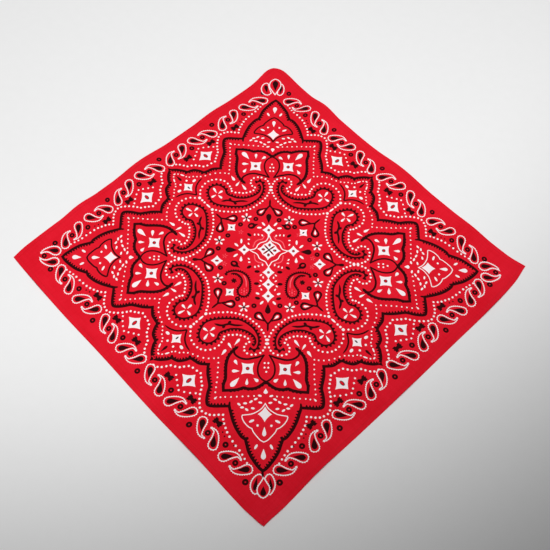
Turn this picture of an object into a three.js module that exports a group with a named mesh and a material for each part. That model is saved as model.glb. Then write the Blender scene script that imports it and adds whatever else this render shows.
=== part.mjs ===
// A square cotton bandana laid out flat on a table, with a narrow turned hem along each of its four edges.
// Millimetres, +Z up. X and Y run along the cloth's edges, and z = 0 is the table that the underside lies on.
// Seen from above, the corner at +X -Y is the near one, -X +Y the far one, -X -Y the left and +X +Y the right.
import * as THREE from "three";

// Driving dimensions
const HALF_BETWEEN_TIPS = 277; // from the middle to an edge's line, measured at the corners
const CLOTH_WALL = 1.0; // the panel's wall
const HEM_WIDTH = 6; // how far the edge is turned in
const HEM_WALL = 1.6; // the turned edge is thicker than the single cloth
const HEM_ROUND = 0.5; // the fold's softened outer edge
const SEAM_GAP = 0.3; // between the panel and each hem, and between hems at the corners
const CELLS = 44; // grid cells along each side of the panel, and stretches along each hem
const EVENNESS = 0.7; // how evenly the grid is spaced: 1 is even, and less is closer near the edges

const RED = 0xd81324;
const CLOTH_ROUGHNESS = 0.86;

// How far each edge strays outwards from the straight line between its tips.
// along runs from -1 to 1 in the direction of +X or +Y, and out is in millimetres.
const EDGES = {
  near_left: { outward: [0, -1], stray: [
    { along: -1, out: 0 },
    { along: -0.9, out: 1.2 },
    { along: -0.55, out: 4.2 },
    { along: -0.2, out: 4.4 },
    { along: 0.2, out: 6.2 },
    { along: 0.55, out: 5.2 },
    { along: 0.88, out: 6.2 },
    { along: 0.97, out: 3.2 },
    { along: 1, out: 0 },
  ] },
  near_right: { outward: [1, 0], stray: [
    { along: -1, out: 0 },
    { along: -0.9, out: 3.4 },
    { along: -0.63, out: 2.2 },
    { along: -0.35, out: 4.8 },
    { along: 0, out: 7.0 },
    { along: 0.35, out: 8.0 },
    { along: 0.65, out: 9.0 },
    { along: 0.88, out: 6.6 },
    { along: 1, out: 0 },
  ] },
  far_right: { outward: [0, 1], stray: [
    { along: -1, out: 0 },
    { along: -0.89, out: 3.6 },
    { along: -0.68, out: 1.2 },
    { along: -0.54, out: 1.6 },
    { along: -0.2, out: -2.2 },
    { along: 0.1, out: -1.4 },
    { along: 0.45, out: -3.2 },
    { along: 0.88, out: -4.4 },
    { along: 1, out: 0 },
  ] },
  left_far: { outward: [-1, 0], stray: [
    { along: -1, out: 0 },
    { along: -0.9, out: 3.2 },
    { along: -0.54, out: 4.6 },
    { along: -0.12, out: 3.8 },
    { along: 0.18, out: 1.2 },
    { along: 0.5, out: -1.4 },
    { along: 0.82, out: -4.2 },
    { along: 0.93, out: -1.6 },
    { along: 1, out: 0 },
  ] },
};
const STRAY_REACH = 200; // how far into the cloth an edge's stray is felt

// The soft ridges where the cloth stands off the table. x and y are where a ridge is highest,
// turn is its direction in degrees from +X, and length and width are measured to where it dies away.
const RIDGES = [
  { x: -262, y: 262, turn: 135, length: 58, width: 50, height: 6.0 },
  { x: -150, y: 272, turn: 78, length: 92, width: 34, height: 4.6 },
  { x: 30, y: 274, turn: 104, length: 110, width: 62, height: 4.4 },
  { x: 176, y: 272, turn: 84, length: 70, width: 40, height: 2.4 },
  { x: -278, y: -148, turn: 12, length: 84, width: 36, height: 4.0 },
  { x: -276, y: -24, turn: -10, length: 118, width: 56, height: 5.2 },
  { x: -272, y: 128, turn: 8, length: 66, width: 42, height: 2.8 },
  { x: 278, y: -172, turn: 170, length: 88, width: 46, height: 3.8 },
  { x: 282, y: -8, turn: 186, length: 70, width: 44, height: 2.6 },
  { x: 282, y: 190, turn: 168, length: 78, width: 52, height: 3.2 },
  { x: -214, y: -278, turn: 94, length: 62, width: 40, height: 2.4 },
  { x: 140, y: -280, turn: 84, length: 88, width: 48, height: 3.4 },
  { x: 262, y: -262, turn: 315, length: 44, width: 40, height: 2.2 },
];

// How far a corner's tip is drawn in along the diagonal, as at the far corner, which curls up round.
const TIP_DRAWS = [
  { x: -1, y: 1, draw: 7.4 },
  { x: -1, y: -1, draw: 0.5 },
  { x: 1, y: 1, draw: -0.6 },
  { x: 1, y: -1, draw: -3.6 },
];
const TIP_REACH = 26;

// A soft bump that is 1 in the middle and exactly 0 from a distance of 1 on, so that the rest lies flat.
function bump(distance) {
  const inside = Math.max(0, 1 - distance * distance);
  return inside * inside;
}

// A smooth curve through a table's rows, read at along.
function strayAt(rows, along) {
  const last = rows.length - 2;
  let i = 0;
  while (i < last && along > rows[i + 1].along) i += 1;
  const before = rows[Math.max(i - 1, 0)];
  const start = rows[i];
  const end = rows[i + 1];
  const after = rows[Math.min(i + 2, rows.length - 1)];
  const span = end.along - start.along;
  const share = THREE.MathUtils.clamp((along - start.along) / span, 0, 1);
  const startSlope = ((end.out - before.out) / (end.along - before.along)) * span;
  const endSlope = ((after.out - start.out) / (after.along - start.along)) * span;
  const t2 = share * share;
  const t3 = t2 * share;
  return (
    (2 * t3 - 3 * t2 + 1) * start.out +
    (t3 - 2 * t2 + share) * startSlope +
    (3 * t2 - 2 * t3) * end.out +
    (t3 - t2) * endSlope
  );
}

function ridgeHeight(x, y) {
  let height = 0;
  for (const ridge of RIDGES) {
    const turn = THREE.MathUtils.degToRad(ridge.turn);
    const away = [x - ridge.x, y - ridge.y];
    const along = away[0] * Math.cos(turn) + away[1] * Math.sin(turn);
    const across = away[1] * Math.cos(turn) - away[0] * Math.sin(turn);
    height += ridge.height * bump(along / ridge.length) * bump(across / ridge.width);
  }
  return height;
}

// Where a point of the flat cloth lies: x and y on the table, and the height of its underside.
function laid(x, y) {
  const place = [x, y];
  for (const { outward, stray } of Object.values(EDGES)) {
    const toEdge = HALF_BETWEEN_TIPS - (x * outward[0] + y * outward[1]);
    const along = (x * Math.abs(outward[1]) + y * Math.abs(outward[0])) / HALF_BETWEEN_TIPS;
    const felt = Math.max(0, 1 - toEdge / STRAY_REACH) ** 2;
    const out = strayAt(stray, THREE.MathUtils.clamp(along, -1, 1)) * felt;
    place[0] += out * outward[0];
    place[1] += out * outward[1];
  }
  for (const tip of TIP_DRAWS) {
    const distance = Math.hypot(x - tip.x * HALF_BETWEEN_TIPS, y - tip.y * HALF_BETWEEN_TIPS);
    const inwards = (tip.draw * Math.max(0, 1 - distance / TIP_REACH) ** 2) / Math.SQRT2;
    place[0] -= inwards * tip.x;
    place[1] -= inwards * tip.y;
  }
  return new THREE.Vector3(place[0], place[1], ridgeHeight(x, y));
}

// The place of a grid line or a hem's section across the cloth, from -1 to 1.
function station(i) {
  const even = (2 * i) / CELLS - 1;
  return EVENNESS * even + (1 - EVENNESS) * Math.sin((Math.PI / 2) * even);
}

// A closed solid from points and the polygons between them.
function closedGeometry(points, faces) {
  const geometry = new THREE.BufferGeometry();
  geometry.setAttribute("position", new THREE.Float32BufferAttribute(points.flatMap((p) => p.toArray()), 3));
  geometry.setIndex(faces.flat());
  geometry.computeVertexNormals();
  return geometry;
}

// The two triangles of a four-sided face, given anticlockwise as seen from outside.
function quad(a, b, c, d) {
  return [[a, b, c], [a, c, d]];
}

// The single cloth inside the hems: a wall of even thickness over a grid of laid points.
function panelGeometry() {
  const half = HALF_BETWEEN_TIPS - HEM_WIDTH;
  const across = CELLS + 1;
  const points = [];
  for (const wall of [0, CLOTH_WALL]) {
    for (let j = 0; j < across; j += 1) {
      for (let i = 0; i < across; i += 1) {
        const point = laid(half * station(i), half * station(j));
        point.z += wall;
        points.push(point);
      }
    }
  }
  const under = (i, j) => j * across + i;
  const over = (i, j) => across * across + under(i, j);
  const faces = [];
  for (let j = 0; j < CELLS; j += 1) {
    for (let i = 0; i < CELLS; i += 1) {
      faces.push(...quad(over(i, j), over(i + 1, j), over(i + 1, j + 1), over(i, j + 1)));
      faces.push(...quad(under(i, j), under(i, j + 1), under(i + 1, j + 1), under(i + 1, j)));
    }
  }
  const end = CELLS;
  for (let i = 0; i < end; i += 1) {
    faces.push(...quad(under(i, 0), under(i + 1, 0), over(i + 1, 0), over(i, 0)));
    faces.push(...quad(under(i + 1, end), under(i, end), over(i, end), over(i + 1, end)));
    faces.push(...quad(under(0, i + 1), under(0, i), over(0, i), over(0, i + 1)));
    faces.push(...quad(under(end, i), under(end, i + 1), over(end, i + 1), over(end, i)));
  }
  return closedGeometry(points, faces);
}

// The hem's section: out is the distance from the hem's inner line, and up is above the underside.
const HEM_SECTION = [
  { out: SEAM_GAP, up: 0 },
  { out: HEM_WIDTH - HEM_ROUND, up: 0 },
  { out: HEM_WIDTH, up: HEM_ROUND },
  { out: HEM_WIDTH, up: HEM_WALL - HEM_ROUND },
  { out: HEM_WIDTH - HEM_ROUND, up: HEM_WALL },
  { out: SEAM_GAP + HEM_ROUND, up: HEM_WALL },
  { out: SEAM_GAP, up: HEM_WALL - HEM_ROUND },
];

// One turned edge, mitred at both ends, lofted through sections along the cloth's border.
function hemGeometry(outward) {
  const forward = [outward[1], -outward[0]];
  const inner = HALF_BETWEEN_TIPS - HEM_WIDTH;
  const ring = HEM_SECTION.length;
  const points = [];
  for (let i = 0; i <= CELLS; i += 1) {
    for (const { out, up } of HEM_SECTION) {
      const reach = inner + out;
      const along = station(i) * (reach - SEAM_GAP / Math.SQRT2);
      const point = laid(
        reach * outward[0] + along * forward[0],
        reach * outward[1] + along * forward[1],
      );
      point.z += up;
      points.push(point);
    }
  }
  const at = (i, k) => i * ring + (k % ring);
  const faces = [];
  for (let i = 0; i < CELLS; i += 1) {
    for (let k = 0; k < ring; k += 1) {
      faces.push(...quad(at(i, k), at(i, k + 1), at(i + 1, k + 1), at(i + 1, k)));
    }
  }
  for (let k = 1; k < ring - 1; k += 1) {
    faces.push([at(0, 0), at(0, k + 1), at(0, k)]);
    faces.push([at(CELLS, 0), at(CELLS, k), at(CELLS, k + 1)]);
  }
  return closedGeometry(points, faces);
}

function clothMesh(name, geometry) {
  const material = new THREE.MeshStandardMaterial({ color: RED, roughness: CLOTH_ROUGHNESS, metalness: 0 });
  const mesh = new THREE.Mesh(geometry, material);
  mesh.name = name;
  return mesh;
}

const bandana = new THREE.Group();
bandana.add(clothMesh("panel", panelGeometry()));
for (const [name, { outward }] of Object.entries(EDGES)) {
  bandana.add(clothMesh(`hem_${name}`, hemGeometry(outward)));
}

// The origin is on the table under the middle of the cloth's own box.
const box = new THREE.Box3().setFromObject(bandana);
const middle = box.getCenter(new THREE.Vector3());
bandana.position.set(-middle.x, -middle.y, -box.min.z);

export default bandana;
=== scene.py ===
"""A red cotton bandana laid flat, with the traditional paisley print in white and black.

Tables are in millimetres. The print is drawn on the flat cloth, seen from above: right is +X +Y of
the part, away is -X +Y, and every shape is placed from its own sizes. The cloth is then laid
on the table by the same rules as the CAD solids that it stands for.
"""

import math

import bpy
import numpy as np
from bpy.props import FloatProperty, IntProperty
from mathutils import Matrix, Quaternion, Vector
from mathutils.geometry import delaunay_2d_cdt


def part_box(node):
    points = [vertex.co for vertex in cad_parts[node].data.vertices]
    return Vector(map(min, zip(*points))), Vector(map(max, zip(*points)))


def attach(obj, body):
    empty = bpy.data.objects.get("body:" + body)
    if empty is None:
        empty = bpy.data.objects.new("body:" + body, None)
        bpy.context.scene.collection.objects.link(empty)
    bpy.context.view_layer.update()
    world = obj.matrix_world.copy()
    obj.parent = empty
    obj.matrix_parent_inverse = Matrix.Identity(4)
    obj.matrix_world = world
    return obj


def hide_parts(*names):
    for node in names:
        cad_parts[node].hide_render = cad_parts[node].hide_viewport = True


bl_info = {
    "name": "Cotton bandana",
    "version": (1, 0, 0),
    "blender": (4, 5, 0),
    "location": "3D View > Sidebar > Bandana",
    "description": "Builds a printed cotton bandana laid flat, with its hems, stitches and a studio floor",
    "category": "Object",
}

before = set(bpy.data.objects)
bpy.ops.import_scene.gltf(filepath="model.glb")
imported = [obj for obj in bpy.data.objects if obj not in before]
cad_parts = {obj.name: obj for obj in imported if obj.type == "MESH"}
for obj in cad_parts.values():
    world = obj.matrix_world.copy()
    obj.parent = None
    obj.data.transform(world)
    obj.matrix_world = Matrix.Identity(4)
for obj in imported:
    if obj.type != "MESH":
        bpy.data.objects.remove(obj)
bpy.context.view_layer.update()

MM = 0.001

# The cloth's form, as in the CAD source.
HALF_BETWEEN_TIPS = 277.0
HEM_WIDTH = 6.0
HALF_PANEL = HALF_BETWEEN_TIPS - HEM_WIDTH
SEAM_GAP = 0.3
STRAY_REACH = 200.0
TIP_REACH = 26.0

# For each edge: which way is outwards, and how far it strays that way at points along it.
EDGES = {
    "near_left": ((0, -1), [
        (-1, 0), (-0.9, 1.2), (-0.55, 4.2), (-0.2, 4.4), (0.2, 6.2), (0.55, 5.2), (0.88, 6.2), (0.97, 3.2),
        (1, 0),
    ]),
    "near_right": ((1, 0), [
        (-1, 0), (-0.9, 3.4), (-0.63, 2.2), (-0.35, 4.8), (0, 7.0), (0.35, 8.0), (0.65, 9.0), (0.88, 6.6),
        (1, 0),
    ]),
    "far_right": ((0, 1), [
        (-1, 0), (-0.89, 3.6), (-0.68, 1.2), (-0.54, 1.6), (-0.2, -2.2), (0.1, -1.4), (0.45, -3.2),
        (0.88, -4.4), (1, 0),
    ]),
    "left_far": ((-1, 0), [
        (-1, 0), (-0.9, 3.2), (-0.54, 4.6), (-0.12, 3.8), (0.18, 1.2), (0.5, -1.4), (0.82, -4.2),
        (0.93, -1.6), (1, 0),
    ]),
}
# Ridges where the cloth stands off the table: x, y, turn in degrees, length, width, height.
HIGH_RIDGES = [
    (-262, 262, 135, 58, 50, 6.0),
    (-150, 272, 78, 92, 34, 4.6),
    (30, 274, 104, 110, 62, 4.4),
    (176, 272, 84, 70, 40, 2.4),
    (-278, -148, 12, 84, 36, 4.0),
    (-276, -24, -10, 118, 56, 5.2),
    (-272, 128, 8, 66, 42, 2.8),
    (278, -172, 170, 88, 46, 3.8),
    (282, -8, 186, 70, 44, 2.6),
    (282, 190, 168, 78, 52, 3.2),
    (-214, -278, 94, 62, 40, 2.4),
    (140, -280, 84, 88, 48, 3.4),
    (262, -262, 315, 44, 40, 2.2),
]
# Softer creases than the part's solids have, in the same terms, where the cloth was smoothed out.
CREASES = [
    (-196, 214, 40, 74, 13, 0.55),
    (-176, 232, 52, 58, 10, 0.4),
    (-118, 150, 28, 90, 16, 0.35),
    (60, 196, 62, 82, 15, 0.45),
    (92, 214, 74, 60, 11, 0.35),
    (212, 120, 18, 70, 14, 0.5),
    (232, 60, -12, 66, 12, 0.35),
    (204, -96, 152, 84, 15, 0.45),
    (236, -214, 138, 62, 12, 0.5),
    (110, -228, 96, 70, 14, 0.4),
    (-60, -236, 82, 56, 12, 0.35),
    (-224, -190, 34, 78, 14, 0.45),
    (-238, -64, 10, 64, 12, 0.4),
    (-214, 42, -22, 80, 15, 0.5),
    (8, 40, 70, 120, 22, 0.25),
    (-70, -60, 128, 110, 20, 0.25),
]
RIDGES = HIGH_RIDGES + CREASES
# How far each corner's tip is drawn in along the diagonal: x side, y side, draw.
TIP_DRAWS = [(-1, 1, 7.4), (-1, -1, 0.5), (1, 1, -0.6), (1, -1, -3.6)]


def bump(distance):
    """1 in the middle and exactly 0 from a distance of 1 on."""
    return np.maximum(0, 1 - distance * distance) ** 2


def stray_at(rows, along):
    """A smooth curve through a table's rows, read at along."""
    at = np.array([row[0] for row in rows], float)
    out = np.array([row[1] for row in rows], float)
    i = np.clip(np.searchsorted(at, along, side="left") - 1, 0, len(rows) - 2)
    before, after = np.maximum(i - 1, 0), np.minimum(i + 2, len(rows) - 1)
    span = at[i + 1] - at[i]
    t = np.clip((along - at[i]) / span, 0, 1)
    start_slope = (out[i + 1] - out[before]) / (at[i + 1] - at[before]) * span
    end_slope = (out[after] - out[i]) / (at[after] - at[i]) * span
    t2, t3 = t * t, t * t * t
    level = (2 * t3 - 3 * t2 + 1) * out[i] + (t3 - 2 * t2 + t) * start_slope
    return level + (3 * t2 - 2 * t3) * out[i + 1] + (t3 - t2) * end_slope


def ridges_at(x, y):
    """The height of the cloth's underside over places of the flat cloth."""
    height = np.zeros_like(x)
    for ridge_x, ridge_y, turn, length, width, high in RIDGES:
        c, s = math.cos(math.radians(turn)), math.sin(math.radians(turn))
        away_x, away_y = x - ridge_x, y - ridge_y
        height += high * bump((away_x * c + away_y * s) / length) * bump((away_y * c - away_x * s) / width)
    return height


def laid(flat, shift):
    """Where points of the flat cloth lie, and the height of its underside there."""
    x, y = flat[:, 0], flat[:, 1]
    place_x, place_y = x.copy(), y.copy()
    for (out_x, out_y), rows in EDGES.values():
        to_edge = HALF_BETWEEN_TIPS - (x * out_x + y * out_y)
        along = (x * abs(out_y) + y * abs(out_x)) / HALF_BETWEEN_TIPS
        out = stray_at(rows, np.clip(along, -1, 1)) * np.maximum(0, 1 - to_edge / STRAY_REACH) ** 2
        place_x += out * out_x
        place_y += out * out_y
    for side_x, side_y, draw in TIP_DRAWS:
        distance = np.hypot(x - side_x * HALF_BETWEEN_TIPS, y - side_y * HALF_BETWEEN_TIPS)
        inwards = draw * np.maximum(0, 1 - distance / TIP_REACH) ** 2 / math.sqrt(2)
        place_x -= inwards * side_x
        place_y -= inwards * side_y
    return np.stack([place_x + shift[0], place_y + shift[1], ridges_at(x, y)], 1)


# Shapes of the print


def turned(points, degrees):
    """Points turned about the origin, anticlockwise."""
    c, s = math.cos(math.radians(degrees)), math.sin(math.radians(degrees))
    return np.asarray(points, float) @ np.array([[c, s], [-s, c]])


def round_shape(width, height, corners):
    """A circle or an oval about the origin."""
    a = np.arange(corners) * 2 * math.pi / corners
    return np.stack([np.cos(a) * width / 2, np.sin(a) * height / 2], 1)


def drop_shape(start, end, width):
    """A teardrop with its point at start, and round at end."""
    start, end = np.array(start, float), np.array(end, float)
    length = np.linalg.norm(end - start)
    along = np.array([0.22, 0.45, 0.64, 0.8, 0.93]) * length
    half = np.array([0.36, 0.74, 0.97, 0.96, 0.6]) * width / 2
    side = np.stack([along, -half], 1)
    points = np.concatenate([[[0, 0]], side, [[length, 0]], (side * [1, -1])[::-1]])
    return turned(points, math.degrees(math.atan2(*(end - start)[::-1]))) + start


def diamond_shape(half_width, half_height, pinch=0.3):
    """Four points with hollow sides between them."""
    tips = np.array([[half_width, 0], [0, half_height], [-half_width, 0], [0, -half_height]], float)
    points = []
    for i in range(4):
        a, b = tips[i], tips[(i + 1) % 4]
        hollow = (a + b) / 2 * (1 - pinch)
        for t in (0, 0.25, 0.5, 0.75):
            points.append((1 - t) ** 2 * a + 2 * t * (1 - t) * hollow + t * t * b)
    return np.array(points)


def curve(runs, step, closed=False):
    """A smooth line through each run of points, in even steps, with a corner where two runs meet."""
    if runs and np.ndim(runs[0][0]) == 0:
        runs = [runs]
    whole = []
    for run in runs:
        run = np.array(run, float)
        if closed and len(runs) == 1:
            ends = np.concatenate([run[-1:], run, run[:2]])
        else:
            ends = np.concatenate([2 * run[:1] - run[1:2], run, 2 * run[-1:] - run[-2:-1]])
        a, b, c, d = (ends[k : len(ends) - 3 + k, None] for k in range(4))
        t = np.arange(10)[:, None] / 10
        bend, twist = 2 * a - 5 * b + 4 * c - d, 3 * b - a - 3 * c + d
        dense = 0.5 * (2 * b + (c - a) * t + bend * t**2 + twist * t**3)
        dense = np.concatenate([dense.reshape(-1, 2), ends[-2:-1]])
        length = np.concatenate([[0], np.cumsum(np.linalg.norm(np.diff(dense, axis=0), axis=1))])
        count = max(1, round(length[-1] / step))
        at = np.linspace(0, length[-1], count + 1)
        even = np.stack([np.interp(at, length, dense[:, k]) for k in (0, 1)], 1)
        whole.append(even[:-1])
        last = even[-1:]
    return np.concatenate(whole if closed else whole + [last])


def beside(line, away, closed=False):
    """A line moved to its left by away, mitred where it turns."""
    if closed:
        before, after = line - np.roll(line, 1, 0), np.roll(line, -1, 0) - line
    else:
        step = np.diff(line, axis=0)
        before, after = np.concatenate([step[:1], step]), np.concatenate([step, step[-1:]])
    left = []
    for d in (before, after):
        d = d / np.maximum(np.linalg.norm(d, axis=1, keepdims=True), 1e-9)
        left.append(np.stack([-d[:, 1], d[:, 0]], 1))
    mid = left[0] + left[1]
    mid /= np.maximum(np.linalg.norm(mid, axis=1, keepdims=True), 1e-9)
    stretch = 1 / np.maximum(0.6, (mid * left[1]).sum(1))
    return line + mid * (stretch * away)[:, None]


# A row of teeth along a line, as heights at even steps of one tooth, and the steps of plain lines.
SAW, COMB = (0, 1), (0, 1, 1, 0)
PLAIN_STEP, CLOSED_STEP = 2.2, 2.0


def teeth_along(line, teeth, profile):
    """The teeth's heights at a line's points, with none by a sharp corner."""
    step = np.diff(line, axis=0)
    step /= np.maximum(np.linalg.norm(step, axis=1, keepdims=True), 1e-9)
    sharp = np.concatenate([[0], (step[1:] * step[:-1]).sum(1) < 0.7, [0]])
    clear = np.convolve(sharp, np.ones(2 * len(profile) + 1), "same") == 0
    return teeth * clear * np.resize(profile, len(line))


class Print:
    """Inked shapes on the flat cloth, in the order that they are laid down."""

    def __init__(self):
        self.shapes = []

    def fill(self, ink, points, x=0.0, y=0.0, turn=0.0):
        self.shapes.append((ink, turned(points, turn) + (x, y)))

    def dots(self, ink, size, places):
        for x, y in places:
            self.fill(ink, round_shape(size, size, 8 if size < 4.5 else 12), x, y)

    def dash(self, ink, x, y, length, width, turn=0.0):
        self.fill(ink, round_shape(length, width, 10), x, y, turn)

    def drop(self, ink, start, end, width):
        self.fill(ink, drop_shape(start, end, width))

    def diamond(self, x, y, half_width, half_height, hole=(0, 0), turn=0.0, hole_turn=0.0, pinch=0.3):
        """A white diamond with a black-rimmed hole."""
        self.fill("white", diamond_shape(half_width, half_height, pinch), x, y, turn)
        if hole[0]:
            self.fill("black", round_shape(hole[0], hole[1], 10), x, y, hole_turn)
            self.fill("red", round_shape(hole[0] - 2.0, hole[1] - 2.0, 8), x, y, hole_turn)

    def ring(self, ink, x, y, outer, inner):
        self.fill(ink, round_shape(outer, outer, 12), x, y)
        self.fill("red", round_shape(inner, inner, 8), x, y)

    def stroke(self, ink, runs, width, teeth=0.0, pitch=3.0, profile=SAW, side=1, taper=(0.0, 0.0)):
        """A line with pointed or blunt ends, and teeth on its left or, with side -1, its right."""
        line = curve(runs, pitch / len(profile) if teeth else PLAIN_STEP)
        length = np.concatenate([[0], np.cumsum(np.linalg.norm(np.diff(line, axis=0), axis=1))])
        half = np.full(len(line), width / 2)
        for reach, distance in ((taper[0], length), (taper[1], length[-1] - length)):
            if reach:
                half = np.minimum(half, width / 2 * np.sqrt(np.clip(distance / reach, 0.02, 1)))
        tooth = teeth_along(line, teeth, profile) * np.minimum(1, half * 2 / width)
        left = beside(line, half + (tooth if side > 0 else 0))
        right = beside(line, -half - (tooth if side < 0 else 0))
        self.fill(ink, np.concatenate([right, left[::-1]]))

    def outline(self, ink, runs, width, teeth=0.0, pitch=3.0, profile=SAW, outwards=True):
        """A closed line round red, with teeth on its outside, or on its inside with outwards False."""
        line = curve(runs, pitch / len(profile) if teeth else CLOSED_STEP, closed=True)
        if area(line) > 0:
            line = line[::-1]  # its left is now outside
        tooth = teeth_along(line, teeth, profile)
        self.fill(ink, beside(line, width / 2 + (tooth if outwards else 0 * tooth), True))
        self.fill("red", beside(line, -width / 2 - (0 * tooth if outwards else tooth), True))

    def take(self, other, turn=0.0, mirror=False, x=0.0, y=0.0):
        """Lays another print's shapes on this one, mirrored first, then turned, then moved."""
        for ink, points in other.shapes:
            points = points * [-1.0 if mirror else 1.0, 1.0]
            self.shapes.append((ink, turned(points, turn) + (x, y)))


def area(points):
    """The area inside a closed line, above 0 when it runs anticlockwise."""
    x, y = points[:, 0], points[:, 1]
    return float((x * np.roll(y, -1) - y * np.roll(x, -1)).sum() / 2)


def mirrored(runs):
    """A right half's runs on the left, followed backwards."""
    return [[(-x, y) for x, y in run[::-1]] for run in runs[::-1]]


# The print's tables
# The corner motifs are drawn once, for the right half of the near corner, and repeated by mirror
# and quarter turns. One unit of these tables is PRINT_SCALE millimetres on the cloth.
PRINT_SCALE = 0.99
# How the whole print leans on the cloth: how far right for each millimetre away, and away for each one right.
PRINT_LEANS = (0.005, -0.014)

ZIGZAG = [
    [(0, -322), (6, -317), (14, -307), (20, -297), (23, -288), (25.5, -280)],
    [(25.5, -280), (31, -276.5), (38.5, -266), (44, -254), (48, -241), (49.8, -234.2)],
    [
        (49.8, -234.2), (60, -234.5), (72, -234.5), (79, -232.5), (81, -226), (80.5, -216), (78.5, -205),
        (80, -196), (82, -186), (82.5, -176), (82, -171),
    ],
    [
        (82, -171), (90, -170.5), (96, -169), (102, -165), (108, -161.5), (115, -164), (124, -165.5),
        (130, -163.5), (135, -161), (141, -163), (152, -164), (161, -162.5), (163.5, -163.5),
    ],
]
# Places of the dotted lines beside the zigzag
BIG_DOTS = [
    (21.5, -312), (25, -306.5), (28.5, -301), (32.5, -295.5), (38, -289.5), (42.5, -283.5), (47, -277.5),
    (50.5, -271.5), (53, -265.5), (55.5, -259.5), (57, -253.5), (57.5, -247), (63.5, -247), (69.5, -247.5),
    (75.5, -247), (81, -245), (86.5, -241.5), (89.5, -236), (90.5, -229.5), (91, -223), (90.7, -216),
    (89.7, -209.5), (88.7, -203.5), (90, -197), (91, -191), (92, -184.5), (97.5, -180.5), (103.5, -175.8),
    (109.5, -173.2), (116, -174), (122, -175), (128.5, -174), (135, -172.2), (141, -173.6), (147.5, -175),
    (153.5, -174.8), (159.5, -172),
]
SMALL_DOTS = [
    (16, -219), (24, -219.5), (32, -220), (40, -220.5), (48, -221), (56, -221), (62.5, -221.5), (70, -214),
    (69.5, -206.5), (69, -199), (68.5, -191.5), (68.5, -184), (68.5, -176.5), (68.5, -169), (69, -161.5),
    (75, -162), (82.5, -162), (90, -161), (98, -158.3), (105.3, -155), (112.5, -153), (118.5, -152.5),
    (124.5, -152.7), (130.5, -151), (135.5, -151.5), (149, -155.5), (154, -155),
]
ARCH = [
    [(0, -229.5), (4, -236), (10, -241), (18, -245), (31, -247)],
    [(31, -247), (31.5, -250), (28, -257), (22, -263), (17, -265.5)],
    [(17, -265.5), (15, -270), (10, -276), (5, -281), (0, -283.5)],
]
ARCH_ROWS = [
    (8, -218.5, 15), (13.5, -223.5, -25), (20, -227.5, -35), (28, -230, 0), (36.5, -231.5, 35),
    (7, -228.5, 10), (17, -237, 10), (25.5, -239, 35), (32, -236, 0),
]
PETAL = [
    [(0, -197), (7, -203), (15, -207.5), (25, -208.5), (31, -207), (38, -209.5), (48, -211), (59, -211.5)],
    [
        (59, -211.5), (59.5, -203), (57, -193), (57.5, -180), (57, -168), (54, -158), (49, -151),
        (43.5, -145),
    ],
]
PETAL_CURL = [
    (43.5, -145), (47, -150), (46.5, -155), (42, -159.5), (36, -162.5), (28, -163.5), (20, -162),
    (12, -160), (4, -156.5),
]
PETAL_BUD = [(3.5, -156), (7, -162), (10.5, -169), (12.3, -178), (11, -187), (6.5, -193.5), (0, -197.5)]
PAISLEY = [
    (25, -145), (20, -148.5), (15, -147), (13, -142), (12, -135), (13, -128), (16, -121), (20, -115),
    (26, -109.5), (34, -104), (42, -100.5), (50, -99.5), (60, -99), (70, -99.5), (79, -100.5), (86, -102.5),
    (92, -106), (96, -112), (99, -122), (98, -130), (94, -135), (88, -138), (82, -138), (76, -134.5),
    (72, -130), (71, -125), (68, -121), (62, -118.5), (55, -116), (48, -115.5), (40, -116), (31, -119),
    (25, -122.5), (20, -127), (17.5, -132), (17, -138), (20, -143),
]
PAISLEY_BRANCH = [
    (36, -109.5), (44, -110), (50, -109.5), (56, -108), (60, -108.5), (65, -110), (70, -110), (78, -107.5),
]
PAISLEY_DOTS = [
    (3, -127), (5.5, -121.5), (8.5, -116.5), (12.5, -111), (16.5, -107), (21.5, -103), (26, -99),
    (31.5, -95.5), (37, -93), (42, -91.5), (48, -90), (54, -89), (60, -88.5), (66.5, -89), (73, -89),
    (79.5, -89.5), (85.5, -91), (111.5, -119.5), (111.5, -126.5), (109, -133.5), (105, -139.5),
    (100, -144.5), (94.5, -147.5), (88, -149), (81, -148.5), (75, -146.5), (69.5, -142), (66, -137),
    (63.5, -132.5), (62.5, -128), (56.5, -125.5), (50.5, -125.5), (44.5, -125), (39, -126), (33, -128),
    (28, -131), (26, -136.5), (30.5, -139.5), (33, -144.5), (32.5, -150), (28.5, -154.5), (22, -156.5),
    (16, -156), (9.5, -153.5), (5.5, -149.5), (3, -144.5),
]

# The border runs along each side. These places are along the side from its middle, and out from the
# cloth's middle. A pair's left drop is drawn round its ring, right and inwards.
BORDER_OUT = 247.0
BORDER_RINGS = [27.8, 83.4, 139.0, 194.6]
BORDER_DROP = [
    (3, -8), (-3, -10), (-9, -9.5), (-16, -5), (-22, 2), (-24, 7), (-21.5, 11), (-17, 12.3), (-13, 10.5),
    (-10.5, 6), (-9, 1), (-6, -5), (-3.5, -8),
]
NOTCHED_BAR = [
    (-6.4, -3.9), (-2, -3.9), (-1.4, -2.4), (1.4, -2.4), (2, -3.9), (6.4, -3.9), (5.6, -1.2), (7.2, 0),
    (5.6, 1.2), (6.4, 3.9), (2, 3.9), (1.4, 2.4), (-1.4, 2.4), (-2, 3.9), (-6.4, 3.9), (-5.6, 1.2),
    (-7.2, 0), (-5.6, -1.2),
]
POCKET_DOTS = [(43, 221), (49.5, 225), (56.5, 229.5), (63, 233), (70.5, 229.5), (77.5, 225), (83.5, 220)]

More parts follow.
